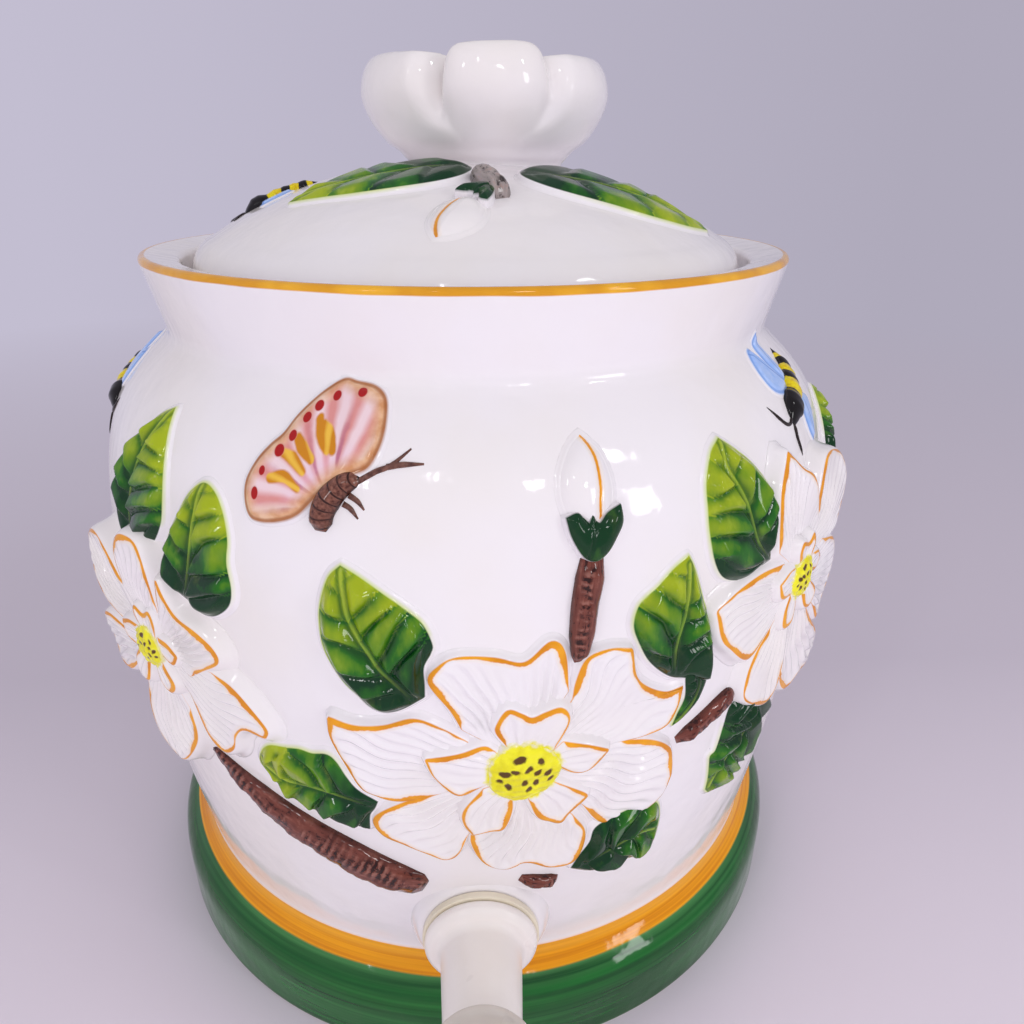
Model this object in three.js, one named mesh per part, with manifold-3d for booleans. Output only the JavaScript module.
// A glazed earthenware drink crock with moulded magnolia sprays, a domed lid with an open blossom
// as its knob, and a plastic lever tap. Millimetres, +Z up. The origin is the centre of the base
// where it stands, and the tap points along -Y.
import * as THREE from 'three';
import { mergeVertices } from 'three/addons/utils/BufferGeometryUtils.js';
import Module from 'manifold-3d';

const wasm = await Module();
wasm.setup();

// Driving dimensions of the crock
const foot_radius = 149.6;
const foot_side = 20;
const crease_inset = 12.6;
const crease_height = 42;
const belly_swell = 1.4;
const belly_height = 165;
const collar_flare = 6.4;
const collar_height = 27.6;
const rim_radius = 125.4;
const rim_height = 283.6;
const rim_land = 14.2;
const rim_edge = 1.4;
const rim_slope = 2.4;
const seat_depth = 11.6;
const seat_width = 9;
const seat_lip = 6;
const wall = 8;
const floor_thickness = 12;
const floor_fillet = 14;

// Driving dimensions of the lid and its knob
const lid_play = 3.6;
const lid_edge_round = 2.4;
const lid_shoulder_in = 8.6;
const lid_shoulder_rise = 15.8;
const lid_rise = 43;
const lid_wall = 8;
const skirt_depth = 11;
const skirt_thickness = 5.5;
const skirt_play = 2.6;
const knob_offset = 5;
const knob_radius = 47.2;
const knob_height = 37.2;
const knob_root_radius = 30;
const knob_petal_width = 58;
const knob_petal_thickness = 6.5;
const knob_pistil_radius = 9;

// Driving dimensions of the relief
const petal_length = 56;
const petal_width = 40;
const petal_lift = 7.5;
const whorl_lift = 12;
const whorl_radius = 27;
const leaf_lift = 5;
const twig_radius = 4.4;
const relief_sunk = 2.5;
const relief_flank = 1.2;

// Driving dimensions of the tap
const tap_height = 62;
const boss_radius = 23.5;
const boss_stand = 0.8;
const pad_radius = 19;
const hole_radius = 11.5;
const shank_radius = 10.5;
const shank_spare = 4;
const waterway_radius = 7.5;
const gasket_thickness = 2.5;
const outer_gasket_radius = 20.8;
const inner_gasket_radius = 17.5;
const nut_across = 32;
const nut_thickness = 8;
const flange_radius = 20;
const flange_thickness = 5;
const flange_round = 1.6;
const barrel_root_radius = 14.2;
const barrel_radius = 12.2;
const barrel_reach = 60;
const chamber_radius = 14.5;
const chamber_bore = 10.2;
const shoulder_rise = 0.8;
const thread_length = 9;
const chamber_thread_radius = 12.6;
const seat_drop = 2.5;
const outlet_radius = 5.5;
const spout_radius = 8.6;
const spout_end = 22;
const spout_flare = 8;
const bonnet_radius = 16.3;
const bonnet_plate = 3.4;
const bonnet_round = 2;
const stem_radius = 3.2;
const stem_head = 3.4;
const stem_play = 0.35;
const pin_radius = 1.2;
const pin_above_heel = 5.5;
const cheek_gap = 0.5;
const cheek_thickness = 3.3;
const cup_flange = 2;
const cup_wall = 1.6;
const cup_play = 0.6;
const cup_foot_radius = 7.4;
const lever_reach = 48;
const lever_nose = 7;
const paddle_width = 24;

// Clearance between touching pieces, and how far a cut runs past what it cuts
const seat_gap = 0.3;
const overrun = 2;

// Numbers of facets
const wall_sides = 36;
const cavity_sides = 30;
const lid_sides = 32;
const tap_sides = 20;
const small_sides = 10;
const nut_sides = 6;
const curve_steps = 6;
const short_curve_steps = 3;

// Materials
const glaze = paint(0xf3eff2, 0.12);
const tap_plastic = paint(0xf2efe8, 0.35);
const bonnet_plastic = paint(0xe3e0d6, 0.3);
const silicone = paint(0xe6e1cf, 0.5);
const steel = paint(0xc4c6c8, 0.3, 1);

function paint(color, roughness, metalness = 0) {
  return new THREE.MeshStandardMaterial({ color, roughness, metalness });
}

// A closed geometry as a solid that can be joined and cut
function solid(geometry) {
  const bare = geometry.clone();
  bare.deleteAttribute('normal');
  bare.deleteAttribute('uv');
  const merged = mergeVertices(bare);
  const corners = merged.index.array;
  const kept = [];
  for (let i = 0; i < corners.length; i += 3) {
    const [a, b, c] = [corners[i], corners[i + 1], corners[i + 2]];
    if (a !== b && b !== c && c !== a) kept.push(a, b, c);
  }
  const vertProperties = new Float32Array(merged.attributes.position.array);
  const triVerts = new Uint32Array(kept);
  return new wasm.Manifold(new wasm.Mesh({ numProp: 3, vertProperties, triVerts }));
}

// A solid as a named mesh
function piece(name, shape, material) {
  const cut = shape.getMesh();
  const geometry = new THREE.BufferGeometry();
  geometry.setAttribute('position', new THREE.BufferAttribute(cut.vertProperties, 3));
  geometry.setIndex(new THREE.BufferAttribute(cut.triVerts, 1));
  geometry.computeVertexNormals();
  const mesh = new THREE.Mesh(geometry, material);
  mesh.name = name;
  return mesh;
}

function joined(solids) {
  return solids.reduce((whole, next) => whole.add(next));
}

// A profile of [radius, height] points, going up its outside, turned round the Z axis
function turned(profile, sides) {
  const points = profile.map(([radius, height]) => new THREE.Vector2(radius, height));
  return solid(new THREE.LatheGeometry(points, sides).rotateX(Math.PI / 2));
}

// The same round the tap's axis, with each point's second value its distance from the pot's axis
function turned_on_tap(profile, sides) {
  const points = profile.map(([radius, distance]) => new THREE.Vector2(radius, distance));
  const geometry = new THREE.LatheGeometry(points, sides).rotateX(Math.PI);
  return solid(geometry.translate(0, 0, tap_height));
}

function upright(profile, sides) {
  return turned(profile, sides).translate([0, -chamber_distance, 0]);
}

function rod(radius, low, high) {
  return [[0, low], [radius, low], [radius, high], [0, high]];
}

// A curve whose two handles are given as shares of the way from its start to its end
function sweep(start, end, handle_shares, steps) {
  const handles = handle_shares.map(([out, up]) => part_way(start, end, out, up));
  const points = [start, ...handles, end].map(([x, y]) => new THREE.Vector2(x, y));
  return new THREE.CubicBezierCurve(...points).getPoints(steps).map((p) => [p.x, p.y]);
}

function part_way(start, end, out, up) {
  return [THREE.MathUtils.lerp(start[0], end[0], out), THREE.MathUtils.lerp(start[1], end[1], up)];
}

// A value read off a list of [value, place] points that climbs in place
function read_off(points, place) {
  const next = points.findIndex((point) => point[1] >= place);
  if (next <= 0) return points[next === 0 ? 0 : points.length - 1][0];
  const [low, high] = [points[next - 1], points[next]];
  return low[0] + (high[0] - low[0]) * (place - low[1]) / (high[1] - low[1]);
}

// The crock's outside from the table to the rim, in one run of [radius, height] points. Heights
// near the top hang from the rim, and the crease and belly follow the foot.
const crease_radius = foot_radius - crease_inset;
const belly_radius = foot_radius + belly_swell;
const neck_radius = rim_radius - collar_flare;
const neck_height = rim_height - collar_height;
const seat_height = rim_height - seat_depth;
const lid_top = seat_height + lid_rise;
const foot_handle_shares = [[0, 0.6], [0.84, 0.55]];
const lower_belly_handle_shares = [[0.29, 0.16], [1, 0.72]];
const upper_belly_handle_shares = [[0, 0.78], [0.47, 0.82]];
const foot_top = [foot_radius, foot_side];
const crease = [crease_radius, crease_height];
const belly = [belly_radius, belly_height];
const neck = [neck_radius, neck_height];
const foot_shoulder = sweep(foot_top, crease, foot_handle_shares, short_curve_steps);
const lower_belly = sweep(crease, belly, lower_belly_handle_shares, curve_steps);
const upper_belly = sweep(belly, neck, upper_belly_handle_shares, curve_steps);
const collar = [[rim_radius, rim_height - rim_edge]];
const outside = [[foot_radius, 0], ...foot_shoulder, ...lower_belly.slice(1),
  ...upper_belly.slice(1), ...collar];

const wall_radius = (height) => read_off(outside, height);

// Places that follow from the driving dimensions
const seat_radius = rim_radius - rim_land;
const mouth_radius = seat_radius - seat_width;
const boss_face = wall_radius(tap_height + boss_radius) + boss_stand;
const pad_level = Math.max(tap_height - pad_radius, crease_height);
const pad_face = Math.sqrt((wall_radius(pad_level) - wall) ** 2 - pad_radius ** 2) - boss_stand;
const flange_back = boss_face + seat_gap + gasket_thickness + seat_gap;
const flange_front = flange_back + flange_thickness;
const nut_face = pad_face - seat_gap - gasket_thickness - seat_gap;
const shank_end = nut_face - nut_thickness - shank_spare;
const chamber_distance = boss_face + barrel_reach;
const seat_level = tap_height - waterway_radius - seat_drop;
const chamber_shoulder = tap_height + barrel_radius + shoulder_rise;
const chamber_top = chamber_shoulder + thread_length;
const cup_flange_low = chamber_top + seat_gap;
const plate_low = cup_flange_low + cup_flange + seat_gap;
const bonnet_top = plate_low + bonnet_plate;
const pin_level = bonnet_top + seat_gap + pin_above_heel;
const knob_base = lid_top - relief_sunk;

// A closed solid between a top sheet and the sheet under it, which share their triangles. The
// border runs anticlockwise seen from above.
function slab(top_points, under_points, triangles, border) {
  const size = top_points.length;
  const index = [...triangles];
  for (let i = 0; i < triangles.length; i += 3) {
    const [a, b, c] = triangles.slice(i, i + 3);
    index.push(size + a, size + c, size + b);
  }
  border.forEach((p, k) => {
    const q = border[(k + 1) % border.length];
    index.push(p, size + p, size + q, p, size + q, q);
  });
  const positions = [...top_points, ...under_points].flatMap((point) => point.toArray());
  const geometry = new THREE.BufferGeometry();
  geometry.setAttribute('position', new THREE.Float32BufferAttribute(positions, 3));
  geometry.setIndex(index);
  return solid(geometry);
}

// A slab on a grid whose rows run from root (s = 0) to tip (s = 1) and whose columns run from edge
// (t = -1) to edge (t = 1)
function patch(rows, columns, top, under) {
  const points = (face) => rows.flatMap((s) => columns.map((t) => face(s, t)));
  const [tall, wide] = [rows.length, columns.length];
  const triangles = [];
  const border = [];
  for (let i = 0; i < tall - 1; i += 1) {
    for (let j = 0; j < wide - 1; j += 1) {
      const [a, b] = [i * wide + j, i * wide + j + 1];
      triangles.push(a, b, b + wide, a, b + wide, a + wide);
    }
  }
  for (let j = 0; j < wide - 1; j += 1) border.push(j);
  for (let i = 0; i < tall - 1; i += 1) border.push(i * wide + wide - 1);
  for (let j = wide - 1; j > 0; j -= 1) border.push((tall - 1) * wide + j);
  for (let i = tall - 1; i > 0; i -= 1) border.push(i * wide);
  return slab(points(top), points(under), triangles, border);
}

// A slab of rings round a middle point
function rosette(rings, steps, top, under) {
  const angles = Array.from({ length: steps }, (unused, step) => 2 * Math.PI * step / steps);
  const points = (face) => [face(0, 0),
    ...rings.flatMap((ring, i) => angles.map((angle) => face(i + 1, angle)))];
  const triangles = [];
  const border = [];
  for (let step = 0; step < steps; step += 1) {
    const next = (step + 1) % steps;
    triangles.push(0, 1 + step, 1 + next);
    for (let low = 1; low < 1 + (rings.length - 1) * steps; low += steps) {
      const [a, b] = [low + step, low + next];
      triangles.push(a, a + steps, b + steps, a, b + steps, b);
    }
    border.push(1 + (rings.length - 1) * steps + step);
  }
  return slab(points(top), points(under), triangles, border);
}

// A point on the wall, across to the right and up from a centre, lifted off the surface
function on_wall(azimuth, height) {
  const middle = THREE.MathUtils.degToRad(azimuth);
  return (across, up, lift) => {
    const radius = wall_radius(height + up) + lift;
    const angle = middle + across / wall_radius(height);
    return new THREE.Vector3(radius * Math.sin(angle), -radius * Math.cos(angle), height + up);
  };
}

// The same on the lid, seen from above with the front of the crock at the top of the view
function on_lid(x, y) {
  return (across, up, lift) => {
    const [px, py] = [x - across, y - up];
    return new THREE.Vector3(px, py, lid_height(Math.hypot(px, py)) + lift);
  };
}

// A leaf, petal, bud or twig: an outline of [along share, width share] rows, laid on a surface
// and turned clockwise from straight up. rise(s, t) is its height as a share of lift.
function sprig(place, { turn, length, width, lift, outline_shares, columns, rise }) {
  const angle = THREE.MathUtils.degToRad(turn);
  const put = (s, t, height, spread) => {
    const along = s * length + spread * (2 * s - 1);
    const side = t * (read_off(outline_shares, s) * width / 2 + spread);
    const across = along * Math.sin(angle) + side * Math.cos(angle);
    const up = along * Math.cos(angle) - side * Math.sin(angle);
    return place(across, up, height);
  };
  const rows = outline_shares.map((row) => row[1]);
  const top = (s, t) => put(s, t, lift * rise(s, t), 0);
  const under = (s, t) => put(s, t, -relief_sunk, relief_flank);
  return patch(rows, columns, top, under);
}

const petal_outline_shares = [[0.36, 0.14], [0.92, 0.6], [0.9, 0.88], [0.34, 1]];
const leaf_outline_shares = [[0.2, 0], [0.9, 0.26], [0.94, 0.55], [0.1, 1]];
const bud_outline_shares = [[0.5, 0], [1, 0.4], [0.12, 1]];
const twig_outline_shares = [[0.8, 0], [1, 0.5], [0.7, 1]];
const petal_columns = [-1, 0, 1];
const leaf_columns = [-1, -0.5, 0, 0.5, 1];

const petal_rise_shares = { root: 0.5, climb: 0.42, curl: 0.12 };
const leaf_rise_shares = { root: 0.85, droop: 0.3, puff: 0.3 };
const bud_rise_shares = { root: 0.7, swell: 0.5, fall: 0.8 };
const twig_fall_share = 0.75;

function petal_rise(s, t) {
  const { root, climb, curl } = petal_rise_shares;
  return root + climb * s + curl * t * t;
}

function leaf_rise(s, t) {
  const { root, droop, puff } = leaf_rise_shares;
  return root - droop * s * s + puff * Math.sin(Math.PI * Math.abs(t));
}

function bud_rise(s, t) {
  const { root, swell, fall } = bud_rise_shares;
  return (1 - fall * t * t) * (root + swell * Math.sin(Math.PI * s));
}

function twig_rise(s, t) {
  return 1 - twig_fall_share * t * t;
}

// Outer petals of each flower: clockwise turn, and length and width as shares of a full petal
const front_petal_shares = [
  { turn: -14, long: 0.83, wide: 1.06 }, { turn: 55, long: 0.95, wide: 0.92 },
  { turn: 110, long: 1, wide: 0.95 }, { turn: 173, long: 0.87, wide: 1 },
  { turn: -129, long: 0.98, wide: 0.8 }, { turn: -84, long: 1.06, wide: 0.84 },
];
const right_petal_shares = [
  { turn: -10, long: 0.8, wide: 0.78 }, { turn: 50, long: 0.88, wide: 0.75 },
  { turn: 100, long: 0.8, wide: 0.8 }, { turn: 150, long: 0.95, wide: 0.86 },
  { turn: -158, long: 0.84, wide: 0.72 }, { turn: -98, long: 0.84, wide: 0.9 },
];
const left_petal_shares = [
  { turn: 2, long: 0.66, wide: 0.8 }, { turn: 60, long: 0.64, wide: 0.75 },
  { turn: 116, long: 0.92, wide: 0.76 }, { turn: 172, long: 0.87, wide: 0.8 },
  { turn: -130, long: 0.9, wide: 0.8 }, { turn: -66, long: 0.84, wide: 0.86 },
];

// Flowers round the wall: azimuth from the tap, and height as a share of the rim's height
const flower_place_shares = [
  { azimuth: 5, high: 0.505, petals: front_petal_shares },
  { azimuth: 46.3, high: 0.648, petals: right_petal_shares },
  { azimuth: -44.6, high: 0.581, petals: left_petal_shares },
  { azimuth: 113, high: 0.5, petals: left_petal_shares },
  { azimuth: -112, high: 0.52, petals: right_petal_shares },
  { azimuth: 180, high: 0.54, petals: front_petal_shares },
];

// The middle of a flower: a domed disc in a whorl of small petals, as rings round its centre
const whorl_lobes = 5;
const whorl_steps = whorl_lobes * 4;
const whorl_turn = 5;
const whorl_ring_shares = [
  { out: 0.24, high: 0.95 }, { out: 0.42, high: 0.68 }, { out: 1, high: 0.85 },
];
const whorl_notch_share = 0.55;

function whorl(place) {
  const last = whorl_ring_shares.length;
  const put = (ring, angle, lift, spread) => {
    const { out } = ring === 0 ? { out: 0 } : whorl_ring_shares[ring - 1];
    const lobe = Math.abs(Math.cos(whorl_lobes * angle / 2));
    const reach = ring === last ? THREE.MathUtils.lerp(whorl_notch_share, 1, lobe) : 1;
    const radius = out * reach * whorl_radius + (ring === last ? spread : 0);
    const turn = THREE.MathUtils.degToRad(whorl_turn) - angle;
    return place(radius * Math.sin(turn), radius * Math.cos(turn), lift);
  };
  const high = (ring) => (ring === 0 ? 1 : whorl_ring_shares[ring - 1].high);
  return rosette(whorl_ring_shares, whorl_steps,
    (ring, angle) => put(ring, angle, whorl_lift * high(ring), 0),
    (ring, angle) => put(ring, angle, -relief_sunk, relief_flank));
}

// One flower: six petals round a whorl
function flower({ azimuth, high, petals }) {
  const place = on_wall(azimuth, high * rim_height);
  const outer = petals.map(({ turn, long, wide }) => sprig(place, {
    turn, length: long * petal_length, width: wide * petal_width, lift: petal_lift,
    outline_shares: petal_outline_shares, columns: petal_columns, rise: petal_rise,
  }));
  return joined([...outer, whorl(place)]);
}

// Leaves round the wall: azimuth and height share of the stalk end, turn, length and width
const leaf_length = 46;
const leaf_width = 31;
const leaf_place_shares = [
  { azimuth: -6.5, high: 0.598, turn: -27, long: 1, wide: 1.05 },
  { azimuth: -34, high: 0.658, turn: 2, long: 0.88, wide: 0.87 },
  { azimuth: -47, high: 0.7, turn: 12, long: 0.98, wide: 0.97 },
  { azimuth: 36, high: 0.686, turn: -13, long: 0.97, wide: 1 },
  { azimuth: 25.5, high: 0.578, turn: -1, long: 0.95, wide: 0.97 },
  { azimuth: 27.5, high: 0.588, turn: -163, long: 0.46, wide: 0.4 },
  { azimuth: -13, high: 0.445, turn: -81, long: 0.9, wide: 0.8 },
  { azimuth: 13.5, high: 0.328, turn: 78, long: 0.74, wide: 0.84 },
  { azimuth: 43, high: 0.49, turn: -152, long: 0.92, wide: 0.87 },
  { azimuth: 68.5, high: 0.758, turn: 22, long: 0.7, wide: 0.7 },
  { azimuth: 101.5, high: 0.668, turn: -27, long: 1, wide: 1.05 },
  { azimuth: 129, high: 0.654, turn: -13, long: 0.97, wide: 1 },
  { azimuth: 158, high: 0.707, turn: 2, long: 0.88, wide: 0.87 },
  { azimuth: -157, high: 0.649, turn: 1, long: 0.95, wide: 0.97 },
  { azimuth: -127, high: 0.679, turn: -13, long: 0.97, wide: 1 },
  { azimuth: -102.5, high: 0.679, turn: 27, long: 1, wide: 1.05 },
  { azimuth: -70, high: 0.4235, turn: -81, long: 0.9, wide: 0.8 },
  { azimuth: 137, high: 0.423, turn: 81, long: 0.9, wide: 0.8 },
];

function leaf(place, { turn, long, wide }) {
  return sprig(place, {
    turn, length: long * leaf_length, width: wide * leaf_width, lift: leaf_lift,
    outline_shares: leaf_outline_shares, columns: leaf_columns, rise: leaf_rise,
  });
}

// Twigs round the wall, from the fat end, with the length as a share of the longest
const twig_length = 92;
const twig_place_shares = [
  { azimuth: -8, high: 0.286, turn: -61, long: 0.97, wide: 1.5 },
  { azimuth: 26.4, high: 0.487, turn: 69, long: 0.3, wide: 0.9 },
  { azimuth: 11.5, high: 0.626, turn: 6, long: 0.39, wide: 1.1 },
  { azimuth: 168, high: 0.31, turn: -66, long: 0.9, wide: 1.1 },
  { azimuth: -128, high: 0.4, turn: 64, long: 0.4, wide: 0.9 },
  { azimuth: 96, high: 0.33, turn: -50, long: 0.4, wide: 0.9 },
];

function twig(place, { turn, long, wide }) {
  return sprig(place, {
    turn, length: long * twig_length, width: wide * twig_radius * 2, lift: twig_radius,
    outline_shares: twig_outline_shares, columns: leaf_columns, rise: twig_rise,
  });
}

const bud_length = 30;
const bud_width = 17;
const bud_place_shares = [
  { azimuth: 13, high: 0.7475, turn: 0 },
  { azimuth: -174, high: 0.76, turn: 8 },
];

function bud(place, turn) {
  return sprig(place, {
    turn, length: bud_length, width: bud_width, lift: leaf_lift,
    outline_shares: bud_outline_shares, columns: leaf_columns, rise: bud_rise,
  });
}

function wall_relief() {
  const spot = (entry) => on_wall(entry.azimuth, entry.high * rim_height);
  return joined([
    ...flower_place_shares.map(flower),
    ...leaf_place_shares.map((entry) => leaf(spot(entry), entry)),
    ...twig_place_shares.map((entry) => twig(spot(entry), entry)),
    ...bud_place_shares.map((entry) => bud(spot(entry), entry.turn)),
  ]);
}

const fillet_handle_shares = [[0.5, 0], [1, 0.5]];

// The inside of the crock, from its floor to above the rim, with the ledge that the lid sits on
function cavity() {
  const corner_radius = crease_radius - wall;
  const corner = sweep(
    [corner_radius - floor_fillet, floor_thickness],
    [corner_radius, floor_thickness + floor_fillet], fillet_handle_shares, short_curve_steps);
  const side = [...lower_belly, ...upper_belly.slice(1)];
  const thinned = side.filter((point, i) => i % 2 === 0 || i === side.length - 1);
  return turned([
    [0, floor_thickness], ...corner, ...thinned.map(([radius, height]) => [radius - wall, height]),
    [mouth_radius, seat_height - seat_lip], [mouth_radius, seat_height],
    [seat_radius, seat_height], [seat_radius, rim_height + overrun],
    [0, rim_height + overrun],
  ], cavity_sides);
}

function crock_body() {
  const rim_inside = rim_height - rim_slope;
  const block = turned([
    [0, 0], ...outside, [rim_radius - rim_edge, rim_height],
    [seat_radius - overrun, rim_inside - overrun * rim_slope / rim_land], [0, rim_inside],
  ], wall_sides);
  const boss = turned_on_tap([
    [0, pad_face + boss_stand], [boss_radius + overrun, pad_face + boss_stand],
    [boss_radius + overrun, boss_face - wall / 2], [boss_radius, boss_face - boss_stand],
    [boss_radius - boss_stand, boss_face], [0, boss_face],
  ], tap_sides);
  const pad = turned_on_tap(rod(pad_radius, pad_face, boss_face - wall), tap_sides);
  const hole = turned_on_tap(rod(hole_radius, pad_face - overrun, boss_face + overrun), tap_sides);
  const clear = turned_on_tap(
    rod(boss_radius, boss_face, boss_face + petal_length), tap_sides);
  return block.add(wall_relief()).subtract(clear).add(boss)
    .subtract(cavity()).add(pad).subtract(hole);
}

// The lid's outside from its edge to the middle, as [radius, height] going in
const lid_radius = seat_radius - lid_play;
const lid_base = seat_height + seat_gap;
const lid_edge_handle_shares = [[0, 0.42], [0.25, 0.78]];
const lid_dome_handle_shares = [[0.24, 0.56], [0.59, 1]];
const lid_corner = [lid_radius, lid_base + lid_edge_round];
const lid_shoulder = [lid_radius - lid_shoulder_in, lid_base + lid_shoulder_rise];
const lid_edge = sweep(lid_corner, lid_shoulder, lid_edge_handle_shares, short_curve_steps);
const lid_dome = sweep(lid_shoulder, [0, lid_top], lid_dome_handle_shares, curve_steps);
const lid_outside = [...lid_edge, ...lid_dome.slice(1)];

function lid_height(radius) {
  const climbing = lid_outside.map(([r, z]) => [z, r]).reverse();
  return read_off(climbing, radius);
}

// The knob: six plump cupped petals that swell out and up from a foot, each with a rounded top
const knob_spine_shares = [[0.62, 0.08], [0.85, 0.27], [0.96, 0.5], [1, 0.78], [0.94, 1]];
const knob_width_shares = [0.66, 0.86, 0.97, 1, 0.82];
const knob_columns = [-1, -0.6, 0, 0.6, 1];
const knob_petal_shares = [
  { turn: 4, wide: 0.66 }, { turn: 66, wide: 1 }, { turn: 126, wide: 0.9 },
  { turn: 184, wide: 0.95 }, { turn: -118, wide: 0.9 }, { turn: -60, wide: 1 },
];
const knob_edge_share = 0.45;
const knob_droop_share = 0.14;

function knob_petal({ turn, wide }) {
  const middle = THREE.MathUtils.degToRad(turn);
  const put = (i, t, inset) => {
    const [out, rise] = knob_spine_shares[i];
    const reach = out * knob_radius;
    const plump = inset * THREE.MathUtils.lerp(1, knob_edge_share, t * t);
    const radius = reach - plump - t * t * knob_petal_thickness / 2;
    const half = wide * knob_width_shares[i] * knob_petal_width / 2;
    const angle = middle + t * half / reach;
    const droop = rise * rise * t * t * knob_droop_share;
    const height = knob_base + plump * (1 - rise) / 2 + (rise - droop) * knob_height;
    return new THREE.Vector3(radius * Math.sin(angle), -radius * Math.cos(angle), height);
  };
  return patch(knob_spine_shares.map((point, i) => i), knob_columns,
    (i, t) => put(i, t, 0), (i, t) => put(i, t, knob_petal_thickness));
}

function knob() {
  const bowl = turned([
    [0, knob_base - relief_sunk], [knob_root_radius, knob_base - relief_sunk],
    [knob_root_radius, knob_base + relief_sunk],
    [knob_root_radius + relief_sunk, knob_base + relief_sunk * 2],
    [knob_pistil_radius, knob_base + knob_pistil_radius],
    [knob_pistil_radius / 2, knob_base + knob_pistil_radius * 2],
    [0, knob_base + knob_pistil_radius * 2],
  ], tap_sides);
  return joined([bowl, ...knob_petal_shares.map(knob_petal)]).translate([knob_offset, 0, 0]);
}

// Leaves, twig stub and bud on the lid, by their stalk ends as shares of the lid's radius
const lid_leaf_shares = [
  { x: 0.01, y: -0.42, turn: 88, long: 1.35, wide: 0.82 },
  { x: 0.16, y: -0.45, turn: -96, long: 1.48, wide: 0.86 },
  { x: -0.05, y: 0.43, turn: -84, long: 1.35, wide: 0.82 },
];
const lid_twig_share = { x: 0.05, y: -0.38, turn: -8, long: 0.28, wide: 0.8 };
const lid_bud_share = { x: 0.03, y: -0.6, turn: 24 };

function lid_relief() {
  const spot = ({ x, y }) => on_lid(x * lid_radius, y * lid_radius);
  return joined([
    ...lid_leaf_shares.map((entry) => leaf(spot(entry), entry)),
    twig(spot(lid_twig_share), lid_twig_share),
    bud(spot(lid_bud_share), lid_bud_share.turn),
  ]);
}

function lid() {
  const skirt_radius = mouth_radius - skirt_play;
  const hollow_radius = skirt_radius - skirt_thickness;
  const under = lid_dome.map(([radius, height]) => [radius, height - lid_wall])
    .filter(([radius]) => radius < hollow_radius).reverse();
  const shell = turned([
    ...under, [hollow_radius, lid_height(hollow_radius) - lid_wall],
    [hollow_radius, lid_base - skirt_depth], [skirt_radius, lid_base - skirt_depth],
    [skirt_radius, lid_base], [lid_radius - lid_edge_round, lid_base], ...lid_outside,
  ], lid_sides);
  return joined([shell, lid_relief(), knob()]);
}

const chamber_handle_shares = [[0, 0.33], [1, 0.67]];

// The tap's moulding: shank, flange, tapered barrel, valve chamber and spout, with its waterway
function tap_body() {
  const barrel = turned_on_tap([
    [0, shank_end], [shank_radius, shank_end], [shank_radius, flange_back],
    [flange_radius, flange_back], [flange_radius, flange_front - flange_round],
    [flange_radius - flange_round, flange_front],
    [barrel_root_radius + flange_round, flange_front],
    [barrel_root_radius, flange_front + flange_round],
    [barrel_radius, chamber_distance - chamber_radius], [barrel_radius, chamber_distance],
    [0, chamber_distance],
  ], tap_sides);
  const chamber_floor = seat_level - spout_flare / 2;
  const chamber = upright([
    [0, spout_end], [spout_radius, spout_end],
    ...sweep([spout_radius, chamber_floor - spout_flare],
      [chamber_radius, chamber_floor + spout_flare / 2], chamber_handle_shares, short_curve_steps),
    [chamber_radius, chamber_shoulder], [chamber_thread_radius, chamber_shoulder],
    [chamber_thread_radius, chamber_top], [0, chamber_top],
  ], tap_sides);
  const waterway = turned_on_tap(
    rod(waterway_radius, shank_end - overrun, chamber_distance), small_sides);
  const bore = upright([
    [0, spout_end - overrun], [outlet_radius, spout_end - overrun],
    [outlet_radius, seat_level], [chamber_bore, seat_level],
    [chamber_bore, chamber_top + overrun], [0, chamber_top + overrun],
  ], small_sides * 2);
  return barrel.add(chamber).subtract(waterway).subtract(bore);
}

function ring_on_tap(inner_radius, outer_radius, near, far) {
  const inside = rod(inner_radius, near - overrun, far + overrun);
  const disc = turned_on_tap(rod(outer_radius, near, far), tap_sides);
  return disc.subtract(turned_on_tap(inside, tap_sides));
}

function outer_gasket() {
  const near = boss_face + seat_gap;
  return ring_on_tap(shank_radius + seat_gap, outer_gasket_radius, near, near + gasket_thickness);
}

function inner_gasket() {
  const far = pad_face - seat_gap;
  return ring_on_tap(shank_radius + seat_gap, inner_gasket_radius, far - gasket_thickness, far);
}

function lock_nut() {
  const corner_radius = nut_across / Math.sqrt(3);
  const hexagon = turned_on_tap(rod(corner_radius, nut_face - nut_thickness, nut_face), nut_sides);
  const bore = rod(shank_radius + seat_gap, nut_face - nut_thickness - overrun,
    nut_face + overrun);
  return hexagon.subtract(turned_on_tap(bore, tap_sides));
}

// How far a quarter round's middle lies in from its corner
const round_share = 0.3;

function bonnet_cap() {
  const skirt_low = chamber_shoulder + seat_gap;
  const cap = upright([
    [0, skirt_low], [bonnet_radius, skirt_low], [bonnet_radius, bonnet_top - bonnet_round],
    [bonnet_radius - bonnet_round * round_share, bonnet_top - bonnet_round * round_share],
    [bonnet_radius - bonnet_round, bonnet_top], [0, bonnet_top],
  ], tap_sides);
  const inside = upright([
    [0, skirt_low - overrun], [chamber_thread_radius + seat_gap, skirt_low - overrun],
    [chamber_thread_radius + seat_gap, plate_low], [stem_radius + stem_play, plate_low],
    [stem_radius + stem_play, bonnet_top + overrun], [0, bonnet_top + overrun],
  ], tap_sides);
  return cap.subtract(inside);
}

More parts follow.
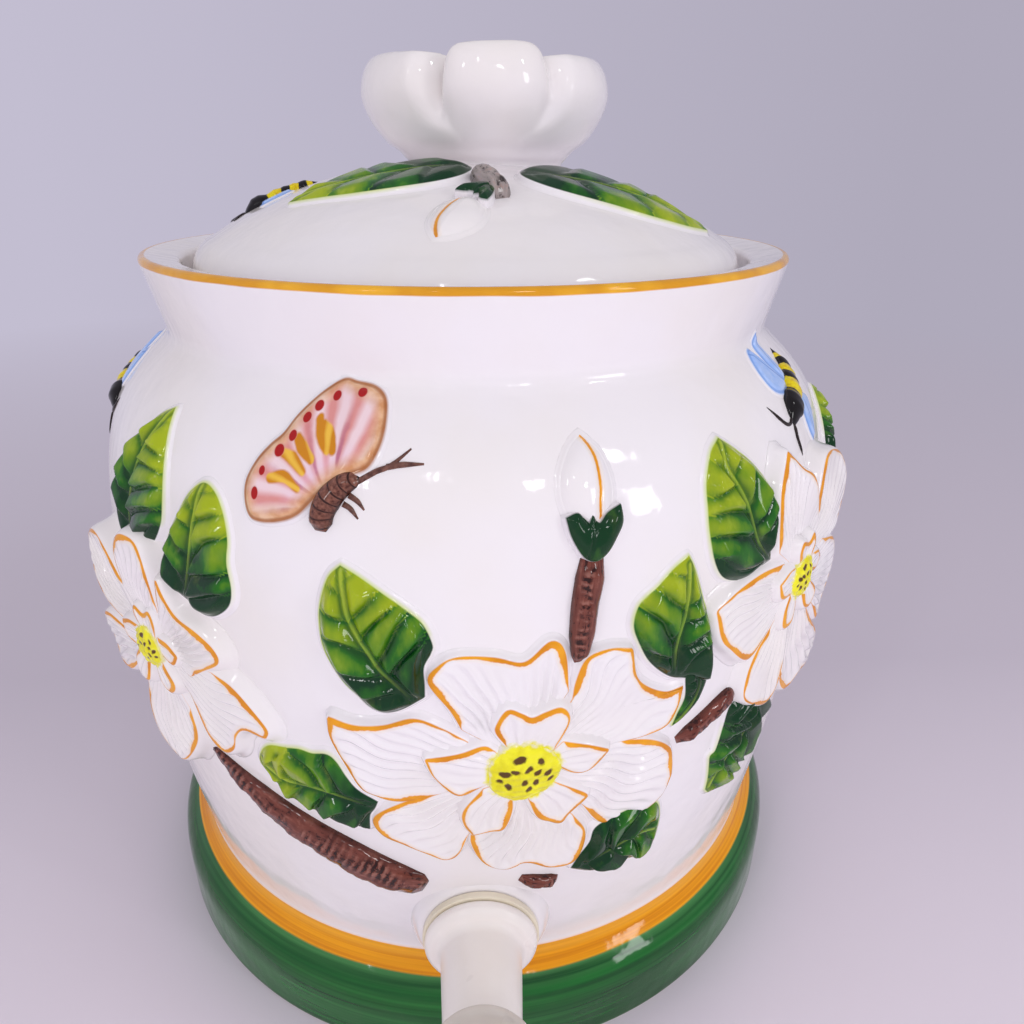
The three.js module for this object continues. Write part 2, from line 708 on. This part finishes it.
// The silicone bell: clamped by its flange under the bonnet, with its foot on the outlet
function seat_cup() {
  const cup_radius = chamber_bore - cup_play;
  const foot = seat_level + seat_gap;
  const socket_floor = foot + cup_wall * 2;
  const socket_top = socket_floor + stem_radius * 2;
  const bend = foot + stem_radius * 3;
  return upright([
    [0, foot], [cup_foot_radius - cup_wall, foot], [cup_foot_radius, foot + cup_wall],
    [cup_radius, bend], [cup_radius, cup_flange_low], [chamber_thread_radius, cup_flange_low],
    [chamber_thread_radius, cup_flange_low + cup_flange],
    [cup_radius - cup_wall, cup_flange_low + cup_flange], [cup_radius - cup_wall, bend],
    [cup_foot_radius - cup_wall, socket_top], [stem_radius + stem_play, socket_top],
    [stem_radius + stem_play, socket_floor], [0, socket_floor],
  ], tap_sides);
}

function valve_stem() {
  const low = seat_level + seat_gap + cup_wall * 2 + seat_gap;
  const head = upright(rod(stem_radius, low, pin_level + stem_head), small_sides);
  return head.subtract(cross_rod(pin_radius + seat_gap, stem_radius + overrun));
}

// A rod across the tap, through the pivot
function cross_rod(radius, half_length) {
  const bar = new THREE.CylinderGeometry(radius, radius, half_length * 2, small_sides);
  return solid(bar.rotateZ(Math.PI / 2)).translate([0, -chamber_distance, pin_level]);
}

const cheek_inside = stem_radius + cheek_gap;
const cheek_outside = cheek_inside + cheek_thickness;

function pivot_pin() {
  return cross_rod(pin_radius, cheek_outside);
}

// The lever's side view, as shares of its reach in front of the pin, and of the pin's height over
// the heel
const lever_side_shares = [
  [-0.08, -1], [0.145, -1], [0.19, -0.6], [0.27, -0.05], [0.35, 0.1], [0.7, 0.5], [1, 1.1],
  [1.01, 1.45], [0.96, 1.62], [0.68, 1.15], [0.34, 0.95], [0.1, 0.75], [-0.03, 0.72],
  [-0.08, 0.4],
];
const lever_plan_shares = [[-0.08, 0.58], [0.2, 0.58], [0.42, 0.46], [0.7, 0.9], [0.88, 1],
  [0.97, 0.82], [1.02, 0.4]];

function lever_handle() {
  const side = new THREE.Shape(lever_side_shares.map(
    ([front, high]) => new THREE.Vector2(front * lever_reach, high * pin_above_heel)));
  const half = lever_plan_shares.map(([front, wide]) => [front * lever_reach,
    wide * paddle_width / 2]);
  const mirrored = half.map(([front, wide]) => [front, -wide]).reverse();
  const plan = new THREE.Shape([...half, ...mirrored].map(([x, y]) => new THREE.Vector2(x, y)));
  const flat = { depth: paddle_width + overrun * 2, bevelEnabled: false };
  const tall = { depth: lever_reach, bevelEnabled: false };
  const side_block = new THREE.ExtrudeGeometry(side, flat)
    .translate(0, 0, -flat.depth / 2).rotateX(Math.PI / 2).rotateZ(-Math.PI / 2);
  const plan_block = new THREE.ExtrudeGeometry(plan, tall)
    .translate(0, 0, -tall.depth / 2).rotateZ(-Math.PI / 2);
  const slot_front = lever_nose + cheek_gap;
  const slot = new THREE.BoxGeometry(cheek_inside * 2, slot_front + lever_nose, lever_reach)
    .translate(0, (lever_nose - slot_front) / 2, 0);
  return solid(side_block).intersect(solid(plan_block)).subtract(solid(slot))
    .translate([0, -chamber_distance, pin_level])
    .subtract(cross_rod(pin_radius + seat_gap, paddle_width));
}

const crock = new THREE.Group();
crock.add(
  piece('crock_body', crock_body(), glaze),
  piece('lid', lid(), glaze),
  piece('tap_body', tap_body(), tap_plastic),
  piece('outer_gasket', outer_gasket(), silicone),
  piece('inner_gasket', inner_gasket(), silicone),
  piece('lock_nut', lock_nut(), tap_plastic),
  piece('bonnet_cap', bonnet_cap(), bonnet_plastic),
  piece('seat_cup', seat_cup(), silicone),
  piece('valve_stem', valve_stem(), tap_plastic),
  piece('pivot_pin', pivot_pin(), steel),
  piece('lever_handle', lever_handle(), tap_plastic),
);

export default crock;
